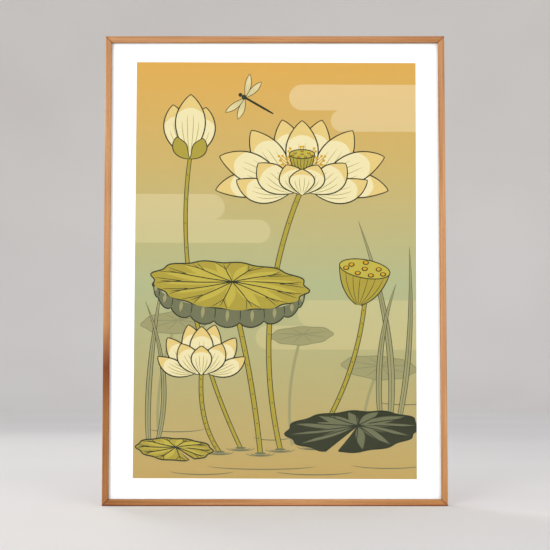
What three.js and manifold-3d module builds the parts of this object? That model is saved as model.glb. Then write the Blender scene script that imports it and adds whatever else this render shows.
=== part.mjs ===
// A framed paper print that stands on its lower edge. Four mitred oak rails, rebated from
// behind, hold a clear acrylic pane, the print and a backing board. Steel tabs let into the
// rails keep the board in. Two D-rings on riveted straps hang the frame on a wall.
//
// Millimetres. X runs to the right as seen from the front, Y from front to back, Z up.
// The origin is the middle of the frame's underside, halfway between its front and back.
import * as THREE from "three";
import { mergeVertices } from "three/addons/utils/BufferGeometryUtils.js";
import Module from "manifold-3d";

const wasm = await Module();
wasm.setup();

// Driving dimensions of the wooden frame.
const FRAME_WIDTH = 520;
const FRAME_HEIGHT = 715;
const FRAME_DEPTH = 24;
const RAIL_FACE = 9.5; // seen from the front
const LIP_THICKNESS = 7; // the wood in front of the pane
const LIP_REACH = 4; // how far the lip covers the pane
const ARRIS_RADIUS = 1.2; // both long front edges of a rail
const BACK_CHAMFER = 0.5; // both long back edges
const MITRE_GAP = 0.15; // cut off each mitred end

// The flat layers behind the lip, from front to back.
const PANE_THICKNESS = 1.5;
const PRINT_THICKNESS = 0.3;
const BOARD_THICKNESS = 3;
const SHEET_MARGIN = 0.5; // from a sheet's edge to the bottom of the rebate
const AIR = 0.3; // between pieces that lie on each other

// The tabs that hold the board.
const TAB_WIDTH = 8;
const TAB_THICKNESS = 0.5;
const TAB_BITE = 3; // how deep a tab sits in the rail
const TAB_REACH = 12; // how far it covers the board
const TAB_POINT = 2; // length of its pointed root
const TABS_ACROSS = 3;
const TABS_UP = 4;
const TAB_PITCH = 158;

// The two hangers.
const HANGER_SPREAD = 360; // from one D-ring's middle to the other's
const HANGER_DROP = 150; // from the frame's top to a D-ring's hinge
const STRAP_WIDTH = 9;
const STRAP_THICKNESS = 0.9;
const STRAP_LENGTH = 36;
const WIRE_RADIUS = 0.9;
const RING_HALF_WIDTH = 7.5; // to the middle of the wire
const RING_SIDE = 5; // straight side between the bar and the round end
const RING_CORNER = 2.2;
const RING_BUTT_GAP = 0.4; // where the bent wire's ends meet
const RING_STEPS = 56;
const RIVET_RADIUS = 1.5;
const RIVET_HEAD_RADIUS = 2.7;
const RIVET_HEAD_HEIGHT = 1;
const RIVET_DROPS = [20, 30]; // below the hinge

// What follows from them.
const REBATE_WALL = RAIL_FACE - LIP_REACH;
const FRONT = -FRAME_DEPTH / 2;
const PANE_FRONT = FRONT + LIP_THICKNESS + AIR;
const PRINT_FRONT = PANE_FRONT + PANE_THICKNESS + AIR;
const BOARD_FRONT = PRINT_FRONT + PRINT_THICKNESS + AIR;
const BOARD_BACK = BOARD_FRONT + BOARD_THICKNESS;
const SHEET_WIDTH = FRAME_WIDTH - 2 * (REBATE_WALL + SHEET_MARGIN);
const SHEET_HEIGHT = FRAME_HEIGHT - 2 * (REBATE_WALL + SHEET_MARGIN);

const oak = new THREE.MeshStandardMaterial({ color: 0xc98f60, roughness: 0.55, metalness: 0 });
const clearAcrylic = new THREE.MeshStandardMaterial({
  color: 0xf7faf9,
  roughness: 0.05,
  metalness: 0,
  transparent: true,
  opacity: 0.12,
});
const printPaper = new THREE.MeshStandardMaterial({ color: 0xfdfdfa, roughness: 0.8, metalness: 0 });
const hardboard = new THREE.MeshStandardMaterial({ color: 0x8a6a4c, roughness: 0.85, metalness: 0 });
const zincSteel = new THREE.MeshStandardMaterial({ color: 0xb9bbbd, roughness: 0.35, metalness: 1 });

// --- joining and cutting ---

function toSolid(geometry) {
  const bare = geometry.clone();
  bare.deleteAttribute("normal");
  bare.deleteAttribute("uv");
  const merged = mergeVertices(bare, 1e-4);
  return new wasm.Manifold(
    new wasm.Mesh({
      numProp: 3,
      vertProperties: new Float32Array(merged.attributes.position.array),
      triVerts: new Uint32Array(merged.index.array),
    }),
  );
}

function toGeometry(solid) {
  const mesh = solid.getMesh();
  const geometry = new THREE.BufferGeometry();
  geometry.setAttribute("position", new THREE.BufferAttribute(mesh.vertProperties, 3));
  geometry.setIndex(new THREE.BufferAttribute(mesh.triVerts, 1));
  geometry.computeVertexNormals();
  return geometry;
}

function cutAway(geometry, cutters) {
  const solid = cutters.reduce((left, cutter) => left.subtract(toSolid(cutter)), toSolid(geometry));
  return toGeometry(solid);
}

function namedMesh(name, geometry, material) {
  const mesh = new THREE.Mesh(geometry, material);
  mesh.name = name;
  return mesh;
}

// --- rails ---

// Across the rail from its outer edge, and back from its front face.
function railSection() {
  const section = new THREE.Shape();
  section.moveTo(0, ARRIS_RADIUS);
  section.absarc(ARRIS_RADIUS, ARRIS_RADIUS, ARRIS_RADIUS, Math.PI, 1.5 * Math.PI, false);
  section.lineTo(RAIL_FACE - ARRIS_RADIUS, 0);
  section.absarc(RAIL_FACE - ARRIS_RADIUS, ARRIS_RADIUS, ARRIS_RADIUS, 1.5 * Math.PI, 2 * Math.PI, false);
  section.lineTo(RAIL_FACE, LIP_THICKNESS);
  section.lineTo(REBATE_WALL, LIP_THICKNESS);
  section.lineTo(REBATE_WALL, FRAME_DEPTH - BACK_CHAMFER);
  section.lineTo(REBATE_WALL - BACK_CHAMFER, FRAME_DEPTH);
  section.lineTo(BACK_CHAMFER, FRAME_DEPTH);
  section.lineTo(0, FRAME_DEPTH - BACK_CHAMFER);
  section.closePath();
  return section;
}

// A rail along X with its outer face down. Each end is shortened by the distance from the
// outer face, which makes the 45 degree mitre.
function mitredRail(outerLength) {
  const rail = new THREE.ExtrudeGeometry(railSection(), {
    depth: 1,
    steps: 1,
    bevelEnabled: false,
    curveSegments: 5,
  });
  const place = rail.attributes.position;
  for (let i = 0; i < place.count; i++) {
    const across = place.getX(i);
    const back = place.getY(i);
    const length = outerLength - 2 * (across + MITRE_GAP);
    place.setXYZ(i, (0.5 - place.getZ(i)) * length, FRONT + back, across);
  }
  return rail;
}

// --- tabs ---

function tabPlaces(count) {
  return Array.from({ length: count }, (_, i) => (i - (count - 1) / 2) * TAB_PITCH);
}

function tabGeometry() {
  const root = REBATE_WALL - TAB_BITE + AIR;
  const end = REBATE_WALL + TAB_REACH;
  const half = TAB_WIDTH / 2;
  const outline = new THREE.Shape();
  outline.moveTo(0, root);
  outline.lineTo(half, root + TAB_POINT);
  outline.lineTo(half, end - half);
  outline.absarc(0, end - half, half, 0, Math.PI, false);
  outline.lineTo(-half, root + TAB_POINT);
  outline.closePath();
  const tab = new THREE.ExtrudeGeometry(outline, {
    depth: TAB_THICKNESS,
    bevelEnabled: false,
    curveSegments: 8,
  });
  tab.rotateX(Math.PI / 2); // the outline's up becomes the way into the frame
  tab.translate(0, BOARD_BACK + AIR + TAB_THICKNESS, 0);
  return tab;
}

function tabSlot(x) {
  const slot = new THREE.BoxGeometry(TAB_WIDTH + 2 * AIR, TAB_THICKNESS + 2 * AIR, 2 * TAB_BITE);
  slot.translate(x, BOARD_BACK + AIR + TAB_THICKNESS / 2, REBATE_WALL);
  return slot;
}

// One side of the frame: its rail, with a slot for each tab, and the tabs.
function frameSide({ name, outerLength, tabCount, turn, middle }) {
  const side = new THREE.Group();
  const places = tabPlaces(tabCount);
  side.add(namedMesh(`rail_${name}`, cutAway(mitredRail(outerLength), places.map(tabSlot)), oak));
  places.forEach((x, i) => {
    const tab = namedMesh(`tab_${name}_${i + 1}`, tabGeometry(), zincSteel);
    tab.position.x = x;
    side.add(tab);
  });
  side.rotation.y = turn;
  side.position.set(middle[0], 0, middle[1]);
  return side;
}

// --- flat layers ---

function sheet(name, front, thickness, material) {
  const mesh = namedMesh(name, new THREE.BoxGeometry(SHEET_WIDTH, thickness, SHEET_HEIGHT), material);
  mesh.position.set(0, front + thickness / 2, FRAME_HEIGHT / 2);
  return mesh;
}

function rivetHole(x, drop, length) {
  const hole = new THREE.CylinderGeometry(RIVET_RADIUS + AIR, RIVET_RADIUS + AIR, length, 24);
  hole.translate(x, 0, -drop);
  return hole;
}

function backingBoard() {
  const board = sheet("backing_board", BOARD_FRONT, BOARD_THICKNESS, hardboard);
  const hingeHeight = FRAME_HEIGHT / 2 - HANGER_DROP;
  const holes = [-1, 1].flatMap((side) =>
    RIVET_DROPS.map((drop) =>
      rivetHole((side * HANGER_SPREAD) / 2, drop - hingeHeight, 2 * BOARD_THICKNESS),
    ),
  );
  board.geometry = cutAway(board.geometry, holes);
  return board;
}

// --- hangers: Y = 0 is the board's back, Z = 0 the hinge ---

const CURL_INSIDE = WIRE_RADIUS + AIR;
const CURL_OUTSIDE = CURL_INSIDE + STRAP_THICKNESS;
const HINGE_STANDOFF = AIR + CURL_OUTSIDE; // from the board's back to the wire's middle
const CURL_END = THREE.MathUtils.degToRad(-112);

// The flat of the strap, with a round lower end and a hole for each rivet.
function strapPlate() {
  const half = STRAP_WIDTH / 2;
  const outline = new THREE.Shape();
  outline.moveTo(half, 0);
  outline.lineTo(-half, 0);
  outline.lineTo(-half, half - STRAP_LENGTH);
  outline.absarc(0, half - STRAP_LENGTH, half, Math.PI, 2 * Math.PI, false);
  outline.closePath();
  outline.holes = RIVET_DROPS.map((drop) => {
    const hole = new THREE.Path();
    hole.absarc(0, -drop, RIVET_RADIUS + AIR, 0, 2 * Math.PI, true);
    return hole;
  });
  const plate = new THREE.ExtrudeGeometry(outline, {
    depth: STRAP_THICKNESS,
    bevelEnabled: false,
    curveSegments: 12,
  });
  plate.rotateX(Math.PI / 2);
  plate.translate(0, AIR + STRAP_THICKNESS, 0);
  return plate;
}

// The strap's upper end, curled round the D-ring's bar. It laps the flat a little, to join it.
function strapCurl() {
  const lap = STRAP_THICKNESS;
  const side = new THREE.Shape();
  side.moveTo(AIR, -lap);
  side.lineTo(AIR, 0);
  side.absarc(HINGE_STANDOFF, 0, CURL_OUTSIDE, Math.PI, CURL_END, true);
  side.lineTo(
    HINGE_STANDOFF + CURL_INSIDE * Math.cos(CURL_END),
    CURL_INSIDE * Math.sin(CURL_END),
  );
  side.absarc(HINGE_STANDOFF, 0, CURL_INSIDE, CURL_END, Math.PI, false);
  side.lineTo(AIR + STRAP_THICKNESS, -lap);
  side.closePath();
  const curl = new THREE.ExtrudeGeometry(side, {
    depth: STRAP_WIDTH,
    bevelEnabled: false,
    curveSegments: 16,
  });
  curl.translate(0, 0, -STRAP_WIDTH / 2);
  const acrossTheStrap = new THREE.Matrix4().makeBasis(
    new THREE.Vector3(0, 1, 0),
    new THREE.Vector3(0, 0, 1),
    new THREE.Vector3(1, 0, 0),
  );
  return curl.applyMatrix4(acrossTheStrap);
}

function strapGeometry() {
  return toGeometry(toSolid(strapPlate()).add(toSolid(strapCurl())));
}

// The wire's middle line, from one end of the bar round to the other.
function ringLine() {
  const line = new THREE.Path();
  const cornerX = RING_HALF_WIDTH - RING_CORNER;
  line.moveTo(RING_BUTT_GAP / 2, 0);
  line.lineTo(cornerX, 0);
  line.absarc(cornerX, -RING_CORNER, RING_CORNER, Math.PI / 2, 0, true);
  line.lineTo(RING_HALF_WIDTH, -RING_SIDE);
  line.absarc(0, -RING_SIDE, RING_HALF_WIDTH, 0, -Math.PI, true);
  line.lineTo(-RING_HALF_WIDTH, -RING_CORNER);
  line.absarc(-cornerX, -RING_CORNER, RING_CORNER, Math.PI, Math.PI / 2, true);
  line.lineTo(-RING_BUTT_GAP / 2, 0);
  const points = line.getSpacedPoints(RING_STEPS).map((p) => new THREE.Vector3(p.x, 0, p.y));
  return new THREE.CatmullRomCurve3(points, false, "centripetal");
}

function ringGeometry() {
  const wire = new THREE.Shape();
  wire.absarc(0, 0, WIRE_RADIUS, 0, 2 * Math.PI, false);
  return new THREE.ExtrudeGeometry(wire, {
    steps: RING_STEPS,
    curveSegments: 6,
    extrudePath: ringLine(),
  });
}

function rivetGeometry() {
  const underHead = AIR + STRAP_THICKNESS + AIR;
  const profile = new THREE.Path();
  profile.moveTo(0, -BOARD_THICKNESS);
  profile.lineTo(RIVET_RADIUS, -BOARD_THICKNESS);
  profile.lineTo(RIVET_RADIUS, underHead);
  profile.lineTo(RIVET_HEAD_RADIUS, underHead);
  profile.absellipse(0, underHead, RIVET_HEAD_RADIUS, RIVET_HEAD_HEIGHT, 0, Math.PI / 2, false);
  return new THREE.LatheGeometry(profile.getPoints(3), 16);
}

function hanger(name, x) {
  const group = new THREE.Group();
  group.add(namedMesh(`strap_${name}`, strapGeometry(), zincSteel));
  const ring = namedMesh(`d_ring_${name}`, ringGeometry(), zincSteel);
  ring.position.y = HINGE_STANDOFF;
  group.add(ring);
  RIVET_DROPS.forEach((drop, i) => {
    const rivet = namedMesh(`rivet_${name}_${i + 1}`, rivetGeometry(), zincSteel);
    rivet.position.z = -drop;
    group.add(rivet);
  });
  group.position.set(x, BOARD_BACK, FRAME_HEIGHT - HANGER_DROP);
  return group;
}

// --- the whole ---

const SIDES = [
  { name: "bottom", outerLength: FRAME_WIDTH, tabCount: TABS_ACROSS, turn: 0, middle: [0, 0] },
  {
    name: "right",
    outerLength: FRAME_HEIGHT,
    tabCount: TABS_UP,
    turn: -Math.PI / 2,
    middle: [FRAME_WIDTH / 2, FRAME_HEIGHT / 2],
  },
  { name: "top", outerLength: FRAME_WIDTH, tabCount: TABS_ACROSS, turn: Math.PI, middle: [0, FRAME_HEIGHT] },
  {
    name: "left",
    outerLength: FRAME_HEIGHT,
    tabCount: TABS_UP,
    turn: Math.PI / 2,
    middle: [-FRAME_WIDTH / 2, FRAME_HEIGHT / 2],
  },
];

const framedPrint = new THREE.Group();
framedPrint.add(...SIDES.map(frameSide));
framedPrint.add(sheet("acrylic_pane", PANE_FRONT, PANE_THICKNESS, clearAcrylic));
framedPrint.add(sheet("print_sheet", PRINT_FRONT, PRINT_THICKNESS, printPaper));
framedPrint.add(backingBoard());
framedPrint.add(hanger("left", -HANGER_SPREAD / 2));
framedPrint.add(hanger("right", HANGER_SPREAD / 2));

export default framedPrint;
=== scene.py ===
# %% [markdown]
# # A framed print, dressed in Blender
# The real thing is a thin oak frame of about half a metre by seven tenths that stands upright on
# its lower rail. A clear acrylic pane, a print with a white border and a hardboard back lie behind
# the rails, flexible steel tabs hold them in, and two D-rings on straps hang the frame on a wall.
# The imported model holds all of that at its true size, so this lesson only dresses it: every
# surface gets its finish, the small round fittings are made again with finer curves, and the
# picture is printed on the sheet. X runs to the right, Y from front to back and Z up, in metres.

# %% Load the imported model
import math

import bpy
import numpy as np
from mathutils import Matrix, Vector, geometry


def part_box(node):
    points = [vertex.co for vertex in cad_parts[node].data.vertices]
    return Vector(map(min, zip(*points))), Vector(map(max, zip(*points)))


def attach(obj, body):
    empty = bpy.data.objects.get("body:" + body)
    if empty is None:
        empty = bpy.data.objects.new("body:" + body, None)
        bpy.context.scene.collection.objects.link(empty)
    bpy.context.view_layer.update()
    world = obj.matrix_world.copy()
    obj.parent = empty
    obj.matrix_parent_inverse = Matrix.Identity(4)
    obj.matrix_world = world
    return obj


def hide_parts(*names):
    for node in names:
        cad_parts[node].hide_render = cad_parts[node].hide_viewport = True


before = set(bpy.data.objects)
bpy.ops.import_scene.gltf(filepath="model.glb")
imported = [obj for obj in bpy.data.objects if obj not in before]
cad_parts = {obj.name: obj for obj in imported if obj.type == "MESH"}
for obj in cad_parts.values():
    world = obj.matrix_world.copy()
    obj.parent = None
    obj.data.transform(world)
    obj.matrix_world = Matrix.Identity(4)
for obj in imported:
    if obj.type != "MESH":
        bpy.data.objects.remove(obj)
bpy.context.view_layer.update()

# %% [markdown]
# ## The camera
# A viewer's eye is low, some 20 cm above the surface that the frame stands on, and looks straight
# at it and a little upwards. A long lens from far away keeps the two tall rails almost parallel,
# and the upward look makes them lean together very slightly. The camera is set from these four
# numbers and has no shift, so that every other view can use it as it is.

# %% Set the camera
SENSOR_WIDTH = 36.0
FOCAL_LENGTH = 94.58
CAMERA_PLACE = (0.0002, -2.200, 0.197)
LOOK_UP = math.radians(3.93)

lens = bpy.data.cameras.new("camera")
lens.sensor_width = SENSOR_WIDTH
lens.lens = FOCAL_LENGTH
camera = bpy.data.objects.new("camera", lens)
camera.location = CAMERA_PLACE
camera.rotation_euler = (math.radians(90) + LOOK_UP, 0, 0)
bpy.context.scene.collection.objects.link(camera)
bpy.context.scene.camera = camera
print("the lens sees", round(math.degrees(lens.angle), 1), "degrees across")

# %% [markdown]
# ## Colour and nodes
# A colour is easiest to name as the sRGB hex code that a colour picker shows, but a shader
# computes with linear light, so one function turns one into the other. A second function adds any
# kind of node with its settings and links. With these two a material reads as a short recipe, and
# as every pattern here is worked out from the place in space, each recipe starts with that place.
# Sockets that share a name go by number. A mix of colours has its share at input 0, its colours at
# 6 and 7, and its result at output 2.

# %% Helpers for materials
MM = 0.001


def linear(code):
    """The linear colour that a shader needs, from an sRGB hex code."""
    parts = [int(code[i : i + 2], 16) / 255 for i in (1, 3, 5)]
    return [p / 12.92 if p <= 0.04045 else ((p + 0.055) / 1.055) ** 2.4 for p in parts] + [1.0]


def add(tree, kind, settings=None, links=None, out=0):
    """Add a node with its settings, input values and links, and return one of its outputs."""
    node = tree.nodes.new("ShaderNode" + kind)
    for name, value in (settings or {}).items():
        if name == "stops":
            points = node.color_ramp.elements
            while len(points) < len(value):
                points.new(1.0)
            for point, (place, code) in zip(points, value):
                point.position = place
                point.color = linear(code)
        elif str(name) in node.bl_rna.properties:
            setattr(node, name, value)
        else:
            node.inputs[name].default_value = value
    for name, output in (links or {}).items():
        tree.links.new(output, node.inputs[name])
    return node.outputs[out] if node.outputs else node


def new_material(name):
    """A material, its empty tree, and the place in space that its patterns start from."""
    made = bpy.data.materials.new(name)
    made.use_nodes = True
    tree = made.node_tree
    tree.nodes.clear()
    return made, tree, add(tree, "TexCoord", out="Object")


def per_metre(size_mm):
    """The scale of a noise whose features are about this many millimetres across."""
    return 1 / (size_mm * MM)


def dress(node_names, made):
    """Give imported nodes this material."""
    for name in node_names:
        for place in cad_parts[name].material_slots:
            place.material = made


print("mid grey in linear light:", round(linear("#808080")[0], 3))

# %% [markdown]
# ## Oiled oak
# The rails are straight-grained oak, planed, sanded and wiped with a clear oil. That gives the eye
# a warm light brown, growth rings as soft streaks along each rail, short dark pores, and a satin
# gloss that is duller in the pores. Wood is the same right through, so its pattern is worked out
# from the place in space and not from a flat map: each streak then turns over the edges. A noise
# that is squeezed along the rail draws all of it, at four sizes.

# %% Grain
GRAIN = {
    # name: mm across the grain, times longer along it, detail, roughness
    "rings": (2.6, 70, 3.0, 0.55),
    "fibres": (0.9, 70, 2.0, 0.5),  # real ones are finer, drawn this coarse so that they show
    "pores": (0.45, 24, 1.0, 0.5),  # real ones are half as wide
    "cloud": (26, 8, 1.0, 0.5),
}
CUT_FROM = (1.0, 0.37, 0.61)  # the way from one rail's wood to the next, so that no two are alike


def grain(tree, here, runs_along_x, seed):
    """Each pattern of the wood, for a rail that runs along X or along Z."""
    patterns = {}
    for name, (size, times, detail, roughness) in GRAIN.items():
        squeeze = (1 / times, 1, 1) if runs_along_x else (1, 1, 1 / times)
        shift = [seed * part for part in CUT_FROM]
        place = add(tree, "Mapping", {"Scale": squeeze, "Location": shift}, {"Vector": here})
        settings = {"Scale": per_metre(size), "Detail": detail, "Roughness": roughness}
        patterns[name] = add(tree, "TexNoise", settings, {"Vector": place})
    return patterns


print("grain, mm across:", {name: size for name, (size, *_) in GRAIN.items()})

# %% [markdown]
# ## Where the oil soaks in, and painted shade at the foot
# End grain drinks the most oil, which leaves a dark, warm hairline at each mitre. The dark line
# along the lower arris that the frame stands on is painted shade: the contact shadow and the edge
# that faces down, painted into the wood's colour. The lines could be modelled as thin pieces, but
# they are only a colour, so they come from the place too: a point lies on a mitre where it is as far
# from the frame's side as from its upper or lower end.

# %% Mitres, and painted shade at the foot
FRAME_WIDTH = 0.520
FRAME_HEIGHT = 0.715
MITRE_LINE = 1.5 * MM  # how far the dark line reaches to each side, measured along a rail
# painted shade: the dark line along the lower edge stands in for the contact shadow under the frame
FOOT_SHADE_LINE = (0.7 * MM, 1.25 * MM)  # where the dark lower edge begins to fade, and where it ends


def soaked(tree, x, z):
    """How much a place belongs to a mitre's line, and how much to the painted shade along the lower
    edge.
    """
    side = add(tree, "Math", {"operation": "ABSOLUTE"}, {0: x})
    from_side = add(tree, "Math", {"operation": "SUBTRACT", 0: FRAME_WIDTH / 2}, {1: side})
    from_top = add(tree, "Math", {"operation": "SUBTRACT", 0: FRAME_HEIGHT}, {1: z})
    from_end = add(tree, "Math", {"operation": "MINIMUM"}, {0: from_top, 1: z})
    apart = add(tree, "Math", {"operation": "SUBTRACT"}, {0: from_side, 1: from_end})
    off_mitre = add(tree, "Math", {"operation": "ABSOLUTE"}, {0: apart})
    fade = {"interpolation_type": "SMOOTHSTEP", "To Min": 1.0, "To Max": 0.0}
    shares = []
    for value, (start, end) in ((off_mitre, (0.0, MITRE_LINE)), (z, FOOT_SHADE_LINE)):
        settings = {**fade, "From Min": start, "From Max": end}
        shares.append(add(tree, "MapRange", settings, {"Value": value}))
    return shares


print("a mitre's line is", round(2 * MITRE_LINE / MM, 1), "mm wide along the rail")

# %% [markdown]
# ## The four rails
# Every rail is another length of wood, sawn from another board. Each therefore gets its own seed,
# which moves its grain, and its own tints along its length. The tints are painted light and shade:
# they make each rail lighter or darker along its length as the light fell on it, darker and redder
# where it was in shade, and the dark band low on the left rail is a painted cast shadow. They are
# kept in one table, as a maker would keep notes on a set of offcuts.

# %% Tones of the oak
OAK_TONES = [
    (0.0, "#9A6839"), (0.28, "#B58351"), (0.5, "#C28F5C"), (0.72, "#CD9F6D"), (1.0, "#D7AD81"),
]
PORE_TONE = "#8E5E3E"
MITRE_TINT = "#A8692F"  # what the soaked wood takes from the tone
# painted shade along the lower edge, where the frame meets the floor
FOOT_SHADE_TINT = "#C67C2C"
FIBRE_SHARE = 0.45  # how much the fibres count beside the rings, and the cloud beside both
CLOUD_SHARE = 0.5
PORE_DEPTH = -0.8  # how far a pore lies below a fibre
SUM = {"operation": "MULTIPLY_ADD"}  # input 0 times input 1, plus input 2
TINTED = {"data_type": "RGBA", "blend_type": "MULTIPLY"}
RAILS = {
    # name: whether it runs along X, seed, tints of painted light and shade at shares of its length
    # from the left or from below
    "bottom": (True, 1.7, [(0.0, "#B99D71"), (0.3, "#D8C8B1"), (0.6, "#EFEADE"), (1.0, "#DBC6A5")]),
    "right": (False, 4.3, [(0.0, "#EBE2CF"), (0.25, "#F2EEED"), (0.5, "#FBFAFB"), (1.0, "#EEE6E3")]),
    "top": (True, 7.9, [(0.0, "#EEEAE8"), (0.5, "#EDE6DD"), (0.8, "#D9C9B6"), (1.0, "#D4C1AA")]),
    # painted cast shadow: the left rail's dark band, from about 0.18 to 0.38 of its height
    "left": (False, 11.2, [(0.0, "#D0BB99"), (0.18, "#C9B183"), (0.29, "#9E6B3C"), (0.38, "#E0D4C1"),
                           (0.47, "#E4DACE"), (1.0, "#EDE9E8")]),
}
print("tints along the rails:", {rail: len(light_and_shade_tints) for rail, (_, _, light_and_shade_tints) in RAILS.items()})

# %% [markdown]
# ## One recipe for all four
# The recipe adds the fibres and the cloud to the rings, and a ramp turns that sum into a tone. The
# pores darken it, the rail's tints of painted light and shade multiply it, and then come the dark
# mitre lines and the painted shade along the lower edge. The oil has sunk in and left no film, so
# the specular level is well under that of a varnish, and the colour stays deep even where the wood
# is dark. The same patterns give the gloss and a very shallow relief.

# %% Oak for each rail
def oak(rail, runs_along_x, seed, light_and_shade_tints):
    """Oak whose grain runs along one rail, with tints of painted light and shade at some shares of
    the rail's length.
    """
    made, tree, here = new_material("oiled_oak_" + rail)
    x, _, z = add(tree, "SeparateXYZ", None, {"Vector": here}, out=slice(3))
    wood = grain(tree, here, runs_along_x, seed)
    streaks = add(tree, "Math", {**SUM, 1: FIBRE_SHARE}, {0: wood["fibres"], 2: wood["rings"]})
    both = add(tree, "Math", {**SUM, 1: CLOUD_SHARE}, {0: wood["cloud"], 2: streaks})
    level = add(tree, "MapRange", {"From Min": 0.62, "From Max": 1.34}, {"Value": both})
    tone = add(tree, "ValToRGB", {"stops": OAK_TONES}, {0: level})
    pit = {"From Min": 0.60, "From Max": 0.72, "To Max": 0.5}
    in_pore = add(tree, "MapRange", pit, {"Value": wood["pores"]})
    dark = {"data_type": "RGBA", 7: linear(PORE_TONE)}
    pored = add(tree, "Mix", dark, {0: in_pore, 6: tone}, out=2)

    # painted light and shade: the tints darken and redden the wood where the rail was in shade
    half = FRAME_WIDTH / 2
    place, start, end = (x, -half, half) if runs_along_x else (z, 0, FRAME_HEIGHT)
    along = add(tree, "MapRange", {"From Min": start, "From Max": end}, {"Value": place})
    tint = add(tree, "ValToRGB", {"stops": light_and_shade_tints}, {0: along})
    toned = add(tree, "Mix", {**TINTED, 0: 1.0}, {6: pored, 7: tint}, out=2)
    # the mitres' dark lines, then the painted shade along the lower edge
    for share, code in zip(soaked(tree, x, z), (MITRE_TINT, FOOT_SHADE_TINT)):
        toned = add(tree, "Mix", {**TINTED, 7: linear(code)}, {0: share, 6: toned}, out=2)

    gloss = add(tree, "MapRange", {"To Min": 0.46, "To Max": 0.66}, {"Value": streaks})
    height = add(tree, "Math", {**SUM, 1: PORE_DEPTH}, {0: in_pore, 2: wood["fibres"]})
    relief = add(tree, "Bump", {"Strength": 0.35, "Distance": 0.06 * MM}, {"Height": height})
    finish = add(tree, "BsdfPrincipled", {"IOR": 1.5, "Specular IOR Level": 0.2},
                 {"Base Color": toned, "Roughness": gloss, "Normal": relief})
    add(tree, "OutputMaterial", None, {"Surface": finish})
    return made


for rail, (runs_along_x, seed, light_and_shade_tints) in RAILS.items():
    dress(["rail_" + rail], oak(rail, runs_along_x, seed, light_and_shade_tints))
print("oak on", len(RAILS), "rails")

# %% [markdown]
# ## Clear acrylic
# The pane is cast acrylic, 1.5 mm thick, with an anti-reflective coating. What the eye gets is the
# print behind it and, from the side, a faint gloss. A bending glass shader would keep lamps from
# the print, so this pane mixes a transparent shader with a glossy one, by Fresnel. Only its
# outward side mirrors: a ray on its way out would otherwise meet total reflection, which real
# bent light doesn't. The index is lower than plain acrylic's 1.49, as the coating takes most of
# the reflection away. A trace of haze keeps it from being razor sharp.

# %% Acrylic for the pane
COATED_INDEX = 1.32
WAVE_SIZE = 90  # mm; cast sheet is never quite flat

clear_acrylic, tree, here = new_material("coated_clear_acrylic")
through = add(tree, "BsdfTransparent", {"Color": linear("#FDFEFD")})
waves = add(tree, "TexNoise", {"Scale": per_metre(WAVE_SIZE), "Detail": 1.0}, {"Vector": here})
haze = add(tree, "MapRange", {"To Min": 0.04, "To Max": 0.09}, {"Value": waves})
mirror = add(tree, "BsdfGlossy", {"Color": linear("#FFFFFF")}, {"Roughness": haze})
fresnel = add(tree, "Fresnel", {"IOR": COATED_INDEX})
inside = add(tree, "NewGeometry", out="Backfacing")
share = add(tree, "Math", {"operation": "SUBTRACT", "use_clamp": True}, {0: fresnel, 1: inside})
pane = add(tree, "MixShader", None, {0: share, 1: through, 2: mirror})
add(tree, "OutputMaterial", None, {"Surface": pane})
dress(["acrylic_pane"], clear_acrylic)
head_on = ((COATED_INDEX - 1) / (COATED_INDEX + 1)) ** 2
print(f"the pane mirrors {head_on:.1%} head on")

# %% [markdown]
# ## Cotton paper
# The sheet is heavy matt paper for prints, pressed between felts and left uncoated. The eye sees a
# clean, barely warm white with no gloss, and from close by a fine tooth. The tooth is a bump of
# noise, and a trace of longer fibres shifts the white a little. Both are functions of the tree,
# because the inks that lie on the paper take them too.

# %% Paper for the sheet
TOOTH_SIZE = 0.7  # mm; the real tooth is about half as coarse, drawn so that it shows close by
TOOTH_DEPTH = 0.04  # mm
MOTTLE_SIZE = 6.0  # mm
WHITES = [(0.0, "#F8F8F6"), (1.0, "#FCFCFA")]


def paper_tooth(tree, here, strength):
    """The bump of felt-pressed paper, as a normal."""
    fine = add(tree, "TexNoise", {"Scale": per_metre(TOOTH_SIZE), "Detail": 3.0}, {"Vector": here})
    return add(tree, "Bump", {"Strength": strength, "Distance": TOOTH_DEPTH * MM}, {"Height": fine})


def mottle(tree, here, low, high):
    """A value that wanders between low and high over the sheet."""
    slow = add(tree, "TexNoise", {"Scale": per_metre(MOTTLE_SIZE), "Detail": 4.0}, {"Vector": here})
    return add(tree, "MapRange", {"To Min": low, "To Max": high}, {"Value": slow})


cotton_paper, tree, here = new_material("matt_cotton_paper")
white = add(tree, "ValToRGB", {"stops": WHITES}, {0: mottle(tree, here, 0.0, 1.0)})
dull = mottle(tree, here, 0.82, 0.92)
tooth = paper_tooth(tree, here, 0.35)
finish = add(tree, "BsdfPrincipled", {"IOR": 1.5, "Specular IOR Level": 0.3},
             {"Base Color": white, "Roughness": dull, "Normal": tooth})
add(tree, "OutputMaterial", None, {"Surface": finish})
dress(["print_sheet"], cotton_paper)
low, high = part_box("print_sheet")
print("paper sheet", [round((b - a) / MM, 1) for a, b in zip(low, high)], "mm")

# %% [markdown]
# ## Hardboard
# The back is wood fibre pressed wet under heat until it turns brown and hard. Its outer face was
# pressed on a wire screen, which leaves a fine grid of dimples. The eye gets a dull, even mid brown
# with paler fibres strewn over it in all directions. Noises that are drawn out in three directions
# give the fibres, the highest of them lying on top, and two waves at right angles give the screen.

# %% Hardboard for the back
SCREEN_PITCH = 1.5  # mm between the screen's wires; real ones are a little finer
FIBRE_WIDTH = 0.45  # mm; twice the real width, so that the fibres show
FIBRE_STRETCH = 7
FIBRE_WAYS = (12, 75, 134)  # degrees
BOARD_CLOUD = 60  # mm
BROWNS = [(0.0, "#6F4F35"), (0.4, "#826043"), (0.7, "#92704F"), (1.0, "#AB8965")]
WAVES = per_metre(SCREEN_PITCH) * math.tau / 20  # a wave texture has 20 radians to the metre

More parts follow.
